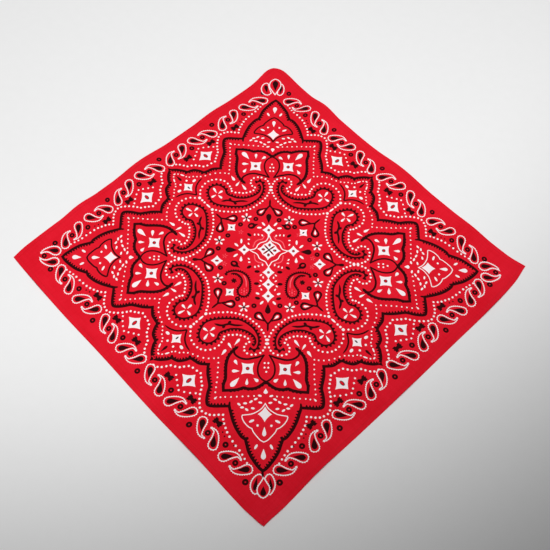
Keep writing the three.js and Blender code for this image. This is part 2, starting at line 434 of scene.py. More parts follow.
# The loops at the near and the far corner: a closed line, and its drop's point, round end and width.
NEAR_LOOPS = [
    ([
        (-2, -337), (-4, -332), (-9, -331), (-15, -336), (-18, -343), (-17, -351), (-12, -356.5), (-7, -352),
    ], (-10, -334), (-13, -352), 5.2),
    ([
        (0, -337), (3, -331.5), (8, -331), (12, -337), (13.5, -344), (11.5, -351), (7, -357), (3, -352),
    ], (6.5, -334), (9, -351), 4.6),
    ([
        (-1.5, -335), (-5, -341), (-9, -348), (-8, -356), (-1.5, -361.5), (5, -356), (6.5, -348), (2.5, -341),
    ], (-1.5, -346), (-1.5, -359), 7.5),
]
FAR_LOOPS = [
    ([
        (2, -335), (7, -331), (14, -333), (18, -340), (18, -348), (14, -354), (8, -354), (6, -345),
    ], (9, -335), (12, -351), 6),
    ([
        (-9, -333), (-14, -331), (-19, -336), (-20, -345), (-17, -352), (-12, -351), (-10, -342),
    ], (-14, -334), (-15.5, -349), 5),
    ([
        (-5, -332), (-9, -339), (-14, -348), (-13, -357), (-5, -362), (3, -357), (5, -348), (0, -339),
    ], (-5, -339), (-5, -359), 10),
]
# One drop of the pair at the left and the right corner, drawn for the near corner
PAIR_DROP = [
    (4, -356.5), (9, -354), (13, -348.5), (16.3, -340.5), (16.3, -332.5), (12, -327), (6.5, -327), (3, -331),
    (3.2, -337), (6, -342.5), (7.2, -347.5), (6.2, -353),
]

# The middle: places, with a size, a length or a turn in degrees where there is more.
CENTRE_LOBES = [
    [(0, 47), (4, 38), (7.5, 35.5), (13, 33.5), (17.5, 29.5), (19.5, 24.5), (23, 21.5), (30, 20)],
    [
        (30, 20), (25, 16.5), (20.5, 14.5), (17, 11), (15, 6), (11.5, 3), (7.5, 1), (4.5, -1), (2.5, -5),
        (0, -9),
    ],
]
CENTRE_DIAMONDS = [
    (-1, 57, 10, 10.5), (38.5, 20, 9.5, 9.5), (-38.5, 20, 9.5, 9.5), (0, -19, 9.5, 11), (0, -40, 9.5, 11),
    (0, -60, 9.5, 11), (80, -2, 9.5, 9.5), (-80, -1, 9.5, 9.5),
]
CENTRE_DASHES = [
    (9.5, 68, 8, 50), (16, 61, 7.5, 0), (43.5, 35.5, 8.5, 90), (51, 28.5, 8, 42), (51.5, 9.5, 8.5, -40),
    (16, -56, 6, 20), (9.5, -71.5, 7.5, -50),
]
CENTRE_TICKS = [
    (11, 47, 60), (17, 48, 60), (23, 48, 90), (32, 39, 0), (31, 4, 45), (30, -2, 0), (21, -10, 80),
    (15.5, -8.5, 60), (9.5, -6, 80), (11.5, -24, -40), (8, -28, 80), (11.5, -34, 35), (13, -43, -35),
    (10.5, -49, 60), (32, 31, 60),
]
SPRIGS = [
    (0.5, -104, 0), (-0.5, 100, 180), (102.5, -2, 90), (-101.5, 0, -90), (-73, -72, -45), (73, -73, 45),
    (-75, 74, -135), (70, 70, 135),
]
WHITE_FLORETS = [(-77, -32), (-36, -80), (77, -35), (33, -79), (-78, 35), (-37, 79), (76, 30), (31, 76)]
PINK_FLORETS = [(69, 8), (68, -7), (-68, 8), (-68, -6), (47, 50), (-45, 52)]
CENTRE_RINGS = [
    (-21, -77), (18, -76), (-46, -66), (43, -70), (-67, -40), (63, -45), (-74, -13), (73, -21),
    (-22, 77), (15, 76), (-46, 66), (40, 64), (-65, 45), (64, 41), (-79, 21), (76, 15),
]
SMALL_PAISLEY_INNER = [
    (35, -62), (41, -61), (45, -57), (46, -50), (43, -45), (40, -38), (41, -31), (45, -26), (50, -23),
    (58, -23),
]
SMALL_PAISLEY_OUTER = [
    (35, -62), (31, -59), (28, -52), (28, -45), (29, -35), (33, -26), (41, -20), (50, -18), (58, -19),
    (64, -22), (66, -26),
]

# Where the print strays from its own pattern on the cloth: right, away, and how far right and away.
PULL_REACH = 50.0
PULLS = [
    (0, 0, -0.3, 0), (0, 55, -2, 0), (0, 100, -0.5, 0), (0, 200, 0.6, 2.3), (10, 320, 3.6, -4.8),
    (-45, 305, -2.5, 1), (0, -100, 0, 0.6), (0, -200, 0, 1.2), (80, -120, -0.5, 1.6), (0, -320, 0, 0),
    (-100, 0, -1, 0), (-200, 0, -2.6, 1.3), (-320, 10, 5.0, -2.0), (-290, -60, 4.0, -5.0),
    (100, 0, -3, 0), (200, 0, 1.1, -0.8), (320, 0, -3.4, -1.4), (-150, -150, -1.5, -2.0),
    (150, -150, -0.4, 1.2), (150, 150, 1.4, 0.1), (-150, 150, -3.2, 2.2),
]


def corner_half():
    """The right half of the near corner, all that repeats by mirror."""
    p = Print()
    p.dots("white", 3.0, BIG_DOTS[:3])
    p.dots("white", 3.4, BIG_DOTS[3:])
    p.dots("white", 2.4, SMALL_DOTS)
    p.dash("white", 142, -154, 7, 2.4, -18)
    p.drop("white", (67, -220), (71, -224), 2.6)
    p.dash("black", 49.6, -231.5, 3.2, 8, 4)

    # Inside the zigzag's arch
    for x, y, turn in ARCH_ROWS:
        p.dash("white", x, y, 5.6, 3.0, turn)
    p.dash("white", 10.5, -290, 7.5, 3.4, -60)

    # The petals
    p.stroke("black", PETAL, 4.2, teeth=1.2, pitch=5, side=-1)
    p.stroke("black", PETAL_CURL, 3.0, taper=(0, 6))
    p.dash("black", 44.3, -146.5, 8.5, 4, -48)
    p.stroke("black", PETAL_BUD, 2.6)
    p.dots("white", 2.9, [(2.7, -169), (2.7, -176)])
    p.diamond(26.7, -178, 12.6, 12.6, hole=(5.6, 5.6), turn=45, pinch=0.4)
    p.drop("white", (41.5, -172.5), (46, -165), 4.5)
    p.drop("white", (38, -182), (49, -182), 4.8)
    p.drop("white", (38, -192), (49.5, -205.5), 7.5)
    p.drop("white", (27, -193), (27, -203), 4.2)
    p.drop("white", (17.5, -192.5), (11, -197.5), 4.8)

    # Between the petals and the paisley
    p.drop("white", (47.5, -142), (40, -131.5), 3.8)
    p.drop("white", (51, -147), (56.5, -138), 3.3)
    p.drop("white", (65, -157.5), (59, -148.5), 4.2)

    # The big paisley, its branch and its flower
    p.stroke("black", PAISLEY, 2.7, teeth=2.8, pitch=5.6, profile=COMB, side=1)
    p.stroke("black", PAISLEY_BRANCH, 3.3, taper=(8, 4))
    p.drop("black", (60, -109), (54, -103), 4.4)
    p.drop("black", (61, -108), (66, -114.5), 4.4)
    for x, y in ((80, -116), (90.5, -116.5), (80, -125), (89, -128)):
        away = np.array([x - 85, y + 120.5])
        p.drop("white", (85, -120.5) + away * 0.25, (85, -120.5) + away * 1.6, 3.6)
    p.dots("white", 3.2, PAISLEY_DOTS)
    return p


def corner_axis(white_arch):
    """What stands on the corner's own axis, which mirror would draw twice."""
    p = Print()
    p.outline("white" if white_arch else "black", ARCH + mirrored(ARCH), 1.4 if white_arch else 2.5)
    p.diamond(0, -245, 9.8, 11)
    for side in (1, -1):
        p.dash("white", side * 18, -255, 8, 3.4, -side * 24)
        p.dots("white", 3.4, [(side * 9.5, -261)])
    p.drop("white", (0, -262.5), (0, -276), 5.6)
    p.drop("white", (0, -292.5), (0, -307), 7)
    p.drop("white", (0, -207.5), (0, -215.5), 6)
    p.dots("white", 3.0, [(0, -182.5)])
    p.dash("white", 0, -132.5, 6.4, 4.2)
    p.dash("white", 0, -138.5, 6.4, 4.2)
    return p


def side_axis():
    """What stands on the diagonal between two corners, drawn there for the near corner's right."""
    p = Print()
    p.dash("white", 98, -98, 8.8, 2.9, -45)
    for along, size in ((91.5, 4.6), (104, 3.6), (107.8, 3.8), (112, 4.8)):
        p.dots("white", size, [(along, -along)])
    for mirror in (False, True):
        half = Print()
        half.stroke("black", [(117, -117), (118.5, -125), (118.5, -133), (115.5, -142), (110, -150)], 2.5,
                    taper=(0, 6))
        half.dash("white", 122.5, -144.5, 6.8, 4.4, 52)
        half.dots("white", 3.6, [(134.5, -143.5)])
        for ink, points in half.shapes:
            p.fill(ink, points[:, ::-1] * [-1, -1] if mirror else points)
    p.diamond(131, -131, 9.8, 9.8, turn=45, pinch=0.36)
    p.dash("black", 130, -130, 5.6, 2.4, -45)
    p.drop("black", (152, -152), (142.5, -142.5), 4.0)
    return p


def border_pair(turned_over):
    """Two paisley drops round a ring, about the ring, right and inwards."""
    p = Print()
    for turn in (0, 180):
        drop = Print()
        drop.outline("white", BORDER_DROP, 1.0, teeth=1.0, pitch=3.1)
        drop.drop("black", (-8.5, -4.5), (-19.5, 8.5), 7.8)
        p.take(drop, turn=turn)
    p.ring("black", 0, 0, 8.4, 2.3)
    flipped = Print()
    flipped.take(p, mirror=turned_over)
    return flipped


def border_side():
    """One side's border without its corners: right is along, and up is inwards, from the cloth's middle."""
    p = Print()
    for k, along in enumerate(BORDER_RINGS):
        for side in (1, -1):
            p.take(border_pair((k % 2 == 1) != (side < 0)), x=side * along, y=-BORDER_OUT)
    for side in (1, -1):
        for x, out in ((112, 256.5), (222.5, 254)):
            p.ring("black", side * x, -out, 8.8, 2.3)
        for x in (55.6, 167.5):
            p.ring("black", side * x, -240.5, 8.6, 2.3)
        p.diamond(side * 62, -214, 14, 12, hole=(5.6, 9.2))
        p.dots("white", 3.0, [(side * x, -y) for x, y in POCKET_DOTS])
        for x, out in ((37.5, 229.5), (86.5, 229.5), (137, 227.5)):
            p.fill("black", np.array(NOTCHED_BAR) * 1.12, side * x, -out)
        p.dots("black", 2.4, [(side * 152, -232), (side * 158, -234), (side * 176, -233)])
    p.ring("black", 0, -256.5, 8.6, 2.3)
    return p


def centre():
    """The middle of the print, which isn't the same four ways: what mirrors, and what doesn't."""
    half, p = Print(), Print()
    # The cross of four hollow diamonds and its lobed outline
    p.outline("white", mirrored(CENTRE_LOBES) + CENTRE_LOBES, 1.5)
    half.stroke("pink", [(25, 25), (23, 31), (21.5, 35), (17, 38.5), (11, 40), (9, 43), (8, 46)], 1.7)
    half.stroke("pink", [(22.5, 12), (21.5, 4), (19, 0), (15, -2), (9.5, -3), (8.5, -6)], 1.7)
    cross = Print()
    for turn in (0, 90, 180, 270):
        cross.fill("white", diamond_shape(9.4, 9.0, 0.42) + (0, 9.4), turn=turn)
    for turn in (45, 135):
        cross.fill("black", round_shape(21, 2.1, 12), turn=turn)
    for turn in (0, 90, 180, 270):
        cross.fill("black", round_shape(4.2, 5.8, 10) + (0, 9), turn=turn)
        cross.fill("red", round_shape(1.8, 3, 8) + (0, 9), turn=turn)
    p.take(cross, turn=-5, x=0.2, y=20.8)

    # Single diamonds round the cross and down the stem
    for x, y, wide, high in CENTRE_DIAMONDS:
        p.diamond(x, y, wide, high, hole=(6, 3.8) if abs(x) > 70 else (4.6, 4.6))
    p.fill("white", [(-2.4, 45), (0.8, 45), (0.4, 50), (-2, 50)])

    # White dashes, drops and ticks
    for x, y, length, turn in CENTRE_DASHES:
        half.dash("white", x, y, length, 3.3, turn)
    half.drop("white", (43, 8.5), (43, -1), 4.6)
    for x, y, turn in CENTRE_TICKS:
        half.dash("white", x, y, 4.0, 2.3, turn)

    # Black leaves, drops and sprigs
    for x, y, turn in ((31.5, 47.5, 40), (30, -10.5, -35), (17.5, -18, 0), (18, -39, 0), (16, -64, 15)):
        half.dash("black", x, y, 8.4, 4.9, turn)
    half.drop("black", (49.5, 19), (67.5, 19), 9.6)
    p.drop("black", (0, -72.5), (0, -90), 8.8)
    p.drop("black", (-1.5, 69.5), (-1.5, 87.5), 8.6)
    p.drop("black", (105, -2), (118, -2), 5.4)
    p.drop("black", (-105, 0), (-118, 0), 5.4)
    for x, y, turn in SPRIGS:
        p.take(sprig(), turn=turn, x=x, y=y)

    # Small squares, florets and rings
    for x, y in ((-58, -55), (57, -58), (-60, 60), (54, 54)):
        p.fill("white", diamond_shape(8.8, 8.8, 0.4), x, y, 45)
        p.dash("black", x, y, 4.2, 2.4, 45 if x * y > 0 else -45)
    for x, y in WHITE_FLORETS:
        for turn in range(18, 360, 72):
            p.fill("white", drop_shape((1.3, 0), (8.4, 0), 3.1), x, y, turn)
            p.fill("black", round_shape(4.4, 1.3, 8) + (2.6, 0), x, y, turn + 36)
        p.dots("black", 3.4, [(x, y)])
    for x, y in PINK_FLORETS:
        for turn in range(10, 360, 72):
            p.fill("pink", round_shape(3.6, 0.9, 8) + (2.6, 0), x, y, turn)
    for x, y in CENTRE_RINGS:
        p.ring("black", x, y, 8.2, 2.1)
    for x, y, turn in ((53, -5.5, -152), (28.3, 64, 152)):
        hook = Print()
        hook.drop("black", (11.5, 1.5), (-4, 0.5), 7)
        hook.dash("black", 0, 0, 12.6, 11.2)
        hook.dash("red", -0.6, -0.4, 5.6, 3.8)
        half.take(hook, turn=turn, x=x, y=y)

    # The two small paisleys below
    for line, side in ((SMALL_PAISLEY_INNER, -1), (SMALL_PAISLEY_OUTER, 1)):
        half.stroke("black", line, 2.8, teeth=1.6, pitch=3.4, profile=COMB, side=side, taper=(0, 4))
    half.dots("black", 4.2, [(64.5, -24.5)])
    half.stroke("pink", [(39, -24.5), (36, -29), (34, -35), (33.5, -41), (33.5, -46)], 1.9, taper=(4, 4))
    half.dash("pink", 36.5, -53, 4.2, 2.0, 90)
    for turn in range(30, 360, 60):
        half.fill("pink", round_shape(2.2, 1.4, 8) + (4.4, 0), 36.5, -53, turn)
    for turn in (15, 75, 135):
        half.dash("black", 52.5, -35, 9.5, 3.4, turn)
    p.take(half)
    p.take(half, mirror=True)
    return p


def sprig():
    """Two drops outlined in black on a stalk, which grows down from its tips."""
    p = Print()
    p.stroke("black", [(0, 0), (0, -7), (0, -15)], 3.0, taper=(2, 4))
    for side in (1, -1):
        p.stroke("black", [(0, -3), (side * 3.5, 1.5), (side * 6, 6)], 2.7)
        p.drop("black", (side * 3, 0.6), (side * 19.8, 15.2), 14.2)
        p.drop("red", (side * 7.2, 3.8), (side * 17.2, 12.9), 7.4)
        p.drop("white", (side * 9.2, 5.4), (side * 15.6, 11.5), 3.6)
    return p


def corner_drops(near):
    """The white-lined drops at the near and the far corner, on the corner's axis, near side down."""
    p = Print()
    drops = Print()
    for line, start, end, width in NEAR_LOOPS if near else FAR_LOOPS:
        drops.outline("white", [line + line[:1]], 1.2, teeth=0.75, pitch=2.8)
        drops.drop("black", start, end, width)
    p.take(drops, x=2.8 if near else 7, y=4.3 if near else -2)
    if near:
        p.stroke("black", [(-0.8, -321), (-0.2, -326), (0.4, -330.5)], 3.2, taper=(0, 3))
    return p


def corner_pair():
    """The pair of drops at the left and the right corner, drawn for the near corner."""
    p = Print()
    for side in (1, -1):
        drop = Print()
        drop.outline("white", [(side * x, y) for x, y in PAIR_DROP], 1.3, teeth=1.0, pitch=3.1)
        drop.drop("black", (side * 10.5, -347), (side * 9.5, -329.5), 7.4)
        p.take(drop)
    p.ring("black", 0, -350.5, 8.4, 2.4)
    return p


def whole_print():
    """Every inked shape: the zigzag first, then the corners, the borders and the middle."""
    p = Print()
    loop = []
    for turn in (0, 90, 180, 270):
        loop += [list(map(tuple, turned(run, turn))) for run in mirrored(ZIGZAG) + ZIGZAG]
    p.outline("black", loop, 4.2, teeth=2.6, pitch=4.6, profile=COMB, outwards=False)
    corner, side = corner_half(), border_side()
    for k, turn in enumerate((0, 90, 180, 270)):
        p.take(corner, turn=turn)
        p.take(corner, turn=turn, mirror=True)
        p.take(corner_axis(k < 2), turn=turn)
        p.take(side_axis(), turn=turn)
        p.take(side, turn=turn + 45)
        p.take(corner_pair() if k % 2 else corner_drops(k == 0), turn=turn)
    p.take(centre())
    return p


def on_cloth(points):
    """From the print's right and away to the flat cloth's x and y, with its lean and its pulls."""
    right, away = (points * PRINT_SCALE).T
    x, y = right + PRINT_LEANS[0] * away, away + PRINT_LEANS[1] * right
    total = np.full_like(x, 1e-3)
    pull_x, pull_y = np.zeros_like(x), np.zeros_like(x)
    for at_x, at_y, dx, dy in PULLS:
        weight = np.exp(-((right - at_x) ** 2 + (away - at_y) ** 2) / (2 * PULL_REACH**2))
        total += weight
        pull_x += weight * dx
        pull_y += weight * dy
    x, y = x + pull_x / total, y + pull_y / total
    return np.stack([(x - y) / math.sqrt(2), (x + y) / math.sqrt(2)], 1)


INKS = ["red", "white", "black", "pink"]
PANEL_MATERIALS = ("bandana_red", "print_white", "print_black", "print_pink", "through_white",
                   "through_black")
# Which of these materials shows on the cloth's back for each ink
THROUGH = [0, 4, 5, 0]
INK_MARGIN = 0.5


def inside(points, shape):
    """Which points a closed line winds round."""
    winding = np.zeros(len(points), int)
    x, y = points.T
    ends = np.roll(shape, -1, 0)
    for i in range(0, len(shape), 64):
        (x0, y0), (x1, y1) = shape[i : i + 64].T[..., None], ends[i : i + 64].T[..., None]
        left = (x1 - x0) * (y - y0) - (x - x0) * (y1 - y0) > 0
        winding += ((y0 <= y) & (y1 > y) & left).sum(0) - ((y0 > y) & (y1 <= y) & ~left).sum(0)
    return winding != 0


def inlaid(grid, edge_cells):
    """The flat panel cut along every inked shape: its points, its triangles and each triangle's ink."""
    side = np.linspace(-HALF_PANEL, HALF_PANEL, edge_cells + 1)[:-1]
    low, high = np.full_like(side, -HALF_PANEL), np.full_like(side, HALF_PANEL)
    sides = ((side, low), (high, side), (-side, high), (low, -side))
    outer = np.concatenate([np.stack(pair, 1) for pair in sides])
    most = HALF_PANEL - INK_MARGIN
    shapes = [(INKS.index(ink), np.clip(on_cloth(shape), -most, most)) for ink, shape in whole_print().shapes]
    points, edges, count = [], [], 0
    for shape in [outer, *(shape for _, shape in shapes)]:
        at = count + np.arange(len(shape))
        edges += np.stack([at, np.roll(at, -1)], 1).tolist()
        points.append(shape)
        count += len(shape)
    line = np.linspace(-HALF_PANEL, HALF_PANEL, grid + 1)[1:-1]
    points.append(np.stack(np.meshgrid(line, line), -1).reshape(-1, 2))
    flat = [Vector(p) for p in np.concatenate(points).tolist()]
    made, _, triangles, _, _, _ = delaunay_2d_cdt(flat, edges, [], 0, 1e-5, False)
    made, triangles = np.array([p[:] for p in made]), np.array([t[:] for t in triangles])
    middles = made[triangles].mean(1)
    order = np.argsort(middles[:, 0])
    inks = np.zeros(len(triangles), int)
    for ink, shape in shapes:
        low, high = shape.min(0), shape.max(0)
        start, end = np.searchsorted(middles[order, 0], (low[0], high[0]))
        near = order[start:end]
        near = near[(middles[near, 1] >= low[1]) & (middles[near, 1] <= high[1])]
        inks[near[inside(middles[near], shape)]] = ink
    return made, triangles, inks


# Meshes


def made_object(name, points, faces, materials, slots=None, smooth=True, normals=None):
    """A piece with its place in its mesh. points are in millimetres."""
    mesh = bpy.data.meshes.new(name)
    mesh.from_pydata((np.asarray(points) * MM).tolist(), [], [list(map(int, f)) for f in faces])
    for material in materials:
        mesh.materials.append(material)
    if slots is not None:
        mesh.polygons.foreach_set("material_index", np.asarray(slots, np.int32))
    mesh.polygons.foreach_set("use_smooth", np.full(len(mesh.polygons), smooth))
    mesh.update()
    if normals is not None:
        mesh.normals_split_custom_set_from_vertices(normals.tolist())
    thing = bpy.data.objects.new(name, mesh)
    bpy.context.scene.collection.objects.link(thing)
    return thing


def cloth_shift():
    """The CAD part stands with its own box's middle at the origin, so the flat cloth moves with it."""
    low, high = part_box("panel")
    line = np.linspace(-HALF_PANEL, HALF_PANEL, 1001)
    least, most = np.full_like(line, -HALF_PANEL), np.full_like(line, HALF_PANEL)
    rim = np.concatenate([np.stack(pair, 1) for pair in ((line, most), (line, least), (most, line),
                                                         (least, line))])
    placed = laid(rim, (0, 0))
    return [((low[k] + high[k]) / MM - placed[:, k].min() - placed[:, k].max()) / 2 for k in (0, 1)]


# Materials


class Maths:
    """A shader value that can be used in sums."""

    def __init__(self, nodes, socket):
        self.nodes, self.socket = nodes, socket

    def _with(self, operation, *values):
        node = self.nodes.add("Math", {"operation": operation}, dict(enumerate(values)))
        return Maths(self.nodes, node.outputs[0])

    def __add__(self, other):
        return self._with("ADD", self, other)

    def __radd__(self, other):
        return self._with("ADD", other, self)

    def __sub__(self, other):
        return self._with("SUBTRACT", self, other)

    def __rsub__(self, other):
        return self._with("SUBTRACT", other, self)

    def __mul__(self, other):
        return self._with("MULTIPLY", self, other)

    def __rmul__(self, other):
        return self._with("MULTIPLY", other, self)

    def clamped(self, low=0.0, high=1.0):
        return self._with("MINIMUM", self._with("MAXIMUM", self, low), high)


class Nodes:
    """A material's node tree."""

    def __init__(self, name):
        self.material = bpy.data.materials.new(name)
        self.material.use_nodes = True
        self.tree = self.material.node_tree
        self.shader = self.tree.nodes["Principled BSDF"]

    def put(self, socket, value):
        if isinstance(value, Maths):
            self.tree.links.new(value.socket, socket)
        elif isinstance(value, bpy.types.NodeSocket):
            self.tree.links.new(value, socket)
        else:
            socket.default_value = value

    def add(self, kind, settings, inputs):
        """A node of a kind, with its settings set first, and then each input's value or link."""
        node = self.tree.nodes.new("ShaderNode" + kind)
        for name, value in settings.items():
            setattr(node, name, value)
        for socket, value in inputs.items():
            self.put(node.inputs[socket], value)
        return node

    def surface(self, inputs):
        """Sets or links the shader's own inputs."""
        for socket, value in inputs.items():
            self.put(self.shader.inputs[socket], value)

    def places(self, scale=(1.0, 1.0, 1.0)):
        """The piece's own places in metres, times scale."""
        at = self.add("TexCoord", {}, {}).outputs["Object"]
        return self.add("Mapping", {}, {"Vector": at, "Scale": scale}).outputs[0]

    def noise(self, vector, scale, detail=2.0, roughness=0.5):
        """Soft unevenness round 0.5."""
        inputs = {"Vector": vector, "Scale": scale, "Detail": detail, "Roughness": roughness}
        return Maths(self, self.add("TexNoise", {}, inputs).outputs[0])

    def bands(self, vector, scale, distortion):
        """Slanting bands, as of twisted thread."""
        inputs = {"Vector": vector, "Scale": scale, "Distortion": distortion, "Detail": 1.0,
                  "Detail Scale": 0.6}
        return Maths(self, self.add("TexWave", {"bands_direction": "DIAGONAL"}, inputs).outputs["Fac"])

    def mix(self, share, first, second):
        """One colour turned towards another. A Mix node's colours are its inputs 6 and 7."""
        return self.add("Mix", {"data_type": "RGBA"}, {0: share, 6: first, 7: second}).outputs[2]

    def bump(self, height, strength):
        """The normal over a height in metres."""
        return self.add("Bump", {}, {"Height": height, "Strength": strength, "Distance": 1.0}).outputs[0]


def rgb(*levels):
    """A colour as seen on a screen, from 0 to 255, as the shader wants it."""
    shares = [level / 255 for level in levels]
    return tuple(c / 12.92 if c <= 0.04045 else ((c + 0.055) / 1.055) ** 2.4 for c in shares) + (1.0,)


# The weave in the shader: threads and slubs in each metre, and the heights that they bump, in metres.
THREADS_PER_M = 2300.0
THREAD_RUN = 9
SLUBS_ACROSS, SLUBS_ALONG = (420.0, 26.0, 1.0), (24.0, 400.0, 1.0)
THREAD_BUMP, SLUB_BUMP, FIBRE_BUMP, TWIST_BUMP = 0.00012, 0.00010, 0.00003, 0.00006


def cotton(name, colour, roughness, weave=1.0, dyes=None):
    """Plain-woven cotton: threads both ways, slubs where a thread is thicker, and dyes that vary softly."""
    n = Nodes(name)
    at = n.places()
    warp = n.noise(n.places((THREADS_PER_M, THREADS_PER_M / THREAD_RUN, 1.0)), 1.0, 1.0)
    weft = n.noise(n.places((THREADS_PER_M / THREAD_RUN, THREADS_PER_M, 1.0)), 1.0, 1.0)
    slubs = n.noise(n.places(SLUBS_ACROSS), 1.0, 2.0) + n.noise(n.places(SLUBS_ALONG), 1.0, 2.0)
    cloud = n.noise(at, 14.0, 4.0, 0.6)
    fibres = n.noise(at, 900.0, 3.0, 0.65)
    if dyes:
        deeper, paler = dyes
        shade = n.mix(((cloud - 0.5) * 1.6 + (slubs - 1.0) * 0.7 + 0.5).clamped(), deeper, paler)
        colour = n.mix(((warp + weft - 1.0) * 2.2 + 0.35).clamped(), shade, colour)
    height = (warp + weft) * THREAD_BUMP * weave + slubs * SLUB_BUMP + fibres * FIBRE_BUMP
    n.surface({
        "Base Color": colour,
        "Roughness": (roughness + (fibres - 0.5) * 0.12 + (slubs - 1.0) * 0.1).clamped(0.3, 1.0),
        "Specular IOR Level": 0.08,
        "Sheen Weight": 0.05,
        "Sheen Roughness": 0.5,
        "Normal": n.bump(height, 0.85),
    })
    return n.material


def materials():
    """Every material of the bandana by name, made once."""
    if "bandana_red" in bpy.data.materials:
        return {m.name: m for m in bpy.data.materials}
    dyes = (rgb(209, 10, 29), rgb(239, 31, 53))
    return {
        "bandana_red": cotton("bandana_red", rgb(227, 17, 38), 0.86, dyes=dyes),
        "print_white": cotton("print_white", rgb(250, 238, 240), 0.82, 0.8),
        "print_black": cotton("print_black", rgb(44, 4, 7), 0.9, 0.8),
        "print_pink": cotton("print_pink", rgb(246, 96, 108), 0.84, 0.9),
        "through_white": cotton("through_white", rgb(232, 96, 104), 0.88),
        "through_black": cotton("through_black", rgb(140, 16, 26), 0.88),
        "thread_red": thread(),
    }


def thread():
    """Twisted cotton sewing thread."""
    n = Nodes("thread_red")
    at = n.places()
    twist = n.bands(at, 900.0, 2.0)
    fibres = n.noise(at, 1500.0, 2.0)
    n.surface({
        # The twist's colour is painted shade and painted highlight: darker in the twist's grooves and lighter
        # on its raised strands, following the same bands that bump it. The fibres vary its tone at random.
        "Base Color": n.mix((twist * 0.6 + fibres * 0.4).clamped(), rgb(176, 10, 26), rgb(214, 26, 44)),
        "Roughness": (0.6 + (fibres - 0.5) * 0.2).clamped(0.3, 1.0),
        "Normal": n.bump(twist * TWIST_BUMP, 0.6),
    })
    return n.material


# The pieces as operators


class PanelSettings(bpy.types.PropertyGroup):
    """The single cloth inside the hems."""

    thickness: FloatProperty(
        name="Thickness", description="Thickness of the single cloth", default=0.0006, unit="LENGTH",
        precision=5
    )
    grid: IntProperty(
        name="Grid", description="Cells along each side that carry the ripples", default=66, min=20, max=100
    )
    edge_cells: IntProperty(
        name="Edge cells", description="Cells along each cut edge", default=132, min=44, max=300
    )


class HemSettings(bpy.types.PropertyGroup):
    """The four turned edges."""

    height: FloatProperty(
        name="Height", description="Height of the turned edge over the table", default=0.0014, unit="LENGTH",
        precision=5
    )
    stitch: FloatProperty(
        name="Stitch", description="Pitch of the stitches and the puckers", default=0.0027, unit="LENGTH",
        precision=5
    )


class StageSettings(bpy.types.PropertyGroup):
    """The table, the light and the camera."""

    azimuth: FloatProperty(
        name="Azimuth", description="Side that the camera looks from", default=math.radians(44.80),
        subtype="ANGLE", unit="ROTATION",
    )
    elevation: FloatProperty(
        name="Elevation", description="How steeply the camera looks down", default=math.radians(61.78),
        subtype="ANGLE", unit="ROTATION",
    )
    roll: FloatProperty(
        name="Roll", description="Turn of the picture", default=math.radians(1.18), subtype="ANGLE",
        unit="ROTATION"
    )
    distance: FloatProperty(
        name="Distance", description="From the camera to where it looks", default=1.2469, unit="LENGTH"
    )
    lens: FloatProperty(name="Lens", description="Focal length on a 36 mm picture", default=53.76)
    power: FloatProperty(name="Light", description="Power of the studio light", default=208.0, unit="POWER")


# Over what distance the cloth's slope is read
SLOPE_STEP = 0.5


class BANDANA_OT_panel(bpy.types.Operator):
    """Builds the printed cloth inside the hems"""

    bl_idname = "bandana.panel"
    bl_label = "Printed panel"

    def execute(self, context):
        settings = context.scene.bandana_panel
        flat, triangles, inks = inlaid(settings.grid, settings.edge_cells)
        under = laid(flat, cloth_shift())
        over = under + [0, 0, settings.thickness / MM]
        x, y, step = flat[:, 0], flat[:, 1], SLOPE_STEP
        slope_x = (ridges_at(x + step, y) - ridges_at(x - step, y)) / (2 * step)
        slope_y = (ridges_at(x, y + step) - ridges_at(x, y - step)) / (2 * step)
        up = np.stack([-slope_x, -slope_y, np.ones(len(flat))], 1)
        up /= np.linalg.norm(up, axis=1, keepdims=True)
        # The cloth's cut edge is where an edge belongs to one triangle only.
        count = len(flat)
        edges = np.concatenate([triangles[:, [0, 1]], triangles[:, [1, 2]], triangles[:, [2, 0]]])
        _, first, uses = np.unique(np.sort(edges, axis=1), axis=0, return_index=True, return_counts=True)
        sides = [(b, a, a + count, b + count) for a, b in edges[first[uses == 1]]]
        faces = [*(triangles + count).tolist(), *triangles[:, ::-1].tolist(), *sides]
        slots = [*inks, *np.array(THROUGH)[inks], *[0] * len(sides)]
        every = materials()
        panel = made_object(
            "printed_panel", np.concatenate([under, over]), faces, [every[name] for name in PANEL_MATERIALS],
            slots, normals=np.concatenate([-up, up]),
        )
        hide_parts("panel")
        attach(panel, "root")
        return {"FINISHED"}


def hem_line(name, reach, along):
    """Flat places at a reach from the middle, along one side."""
    (out_x, out_y), _ = EDGES[name]
    forward = (out_y, -out_x)
    return np.stack([reach * out_x + along * forward[0], reach * out_y + along * forward[1]], 1)


# Round the folded strip: out from the seam's line, and up in shares of the height. The layers meet at the
# seam, and the upper one laps over the panel's edge.
HEM_SECTION = [
    (0.3, 0.0), (1.2, 0.0), (3.5, 0.0), (5.4, 0.0), (5.8, 0.1), (6.0, 0.34), (6.0, 0.62), (5.75, 0.87),
    (5.2, 0.98), (3.8, 1.0), (2.3, 0.93), (1.2, 0.78), (0.3, 0.62), (-0.8, 0.52), (-0.8, 0.46),
    (0.25, 0.46), (1.2, 0.48), (2.3, 0.62), (3.8, 0.68), (4.9, 0.64), (5.35, 0.5), (5.2, 0.34), (3.5, 0.26),
    (1.2, 0.23), (0.3, 0.2),
]
HEM_STATIONS_PER_STITCH = 3
PUCKER, PUCKER_REACH, LOOSE, RIPPLE = 0.07, 3.5, 0.05, 0.04


def hem_lift(out, up, high, stitch, along):
    """How far a line of the fold stands up, with puckers by its stitches and a little slack."""
    phase = 2 * math.pi * along / (2 * stitch) + 0.8 * np.sin(along / 17.0)
    pucker = PUCKER * np.cos(phase) * (0.6 + 0.4 * np.sin(along / 31.0 + out))
    loose = LOOSE * np.sin(along / 23.0 + 1.3 * out) + RIPPLE * np.sin(along / 9.0 + out)
    on_top = up > 0.5 and out > 0
    return up * high + (loose * up + pucker * max(0, 1 - out / PUCKER_REACH) if on_top else 0)


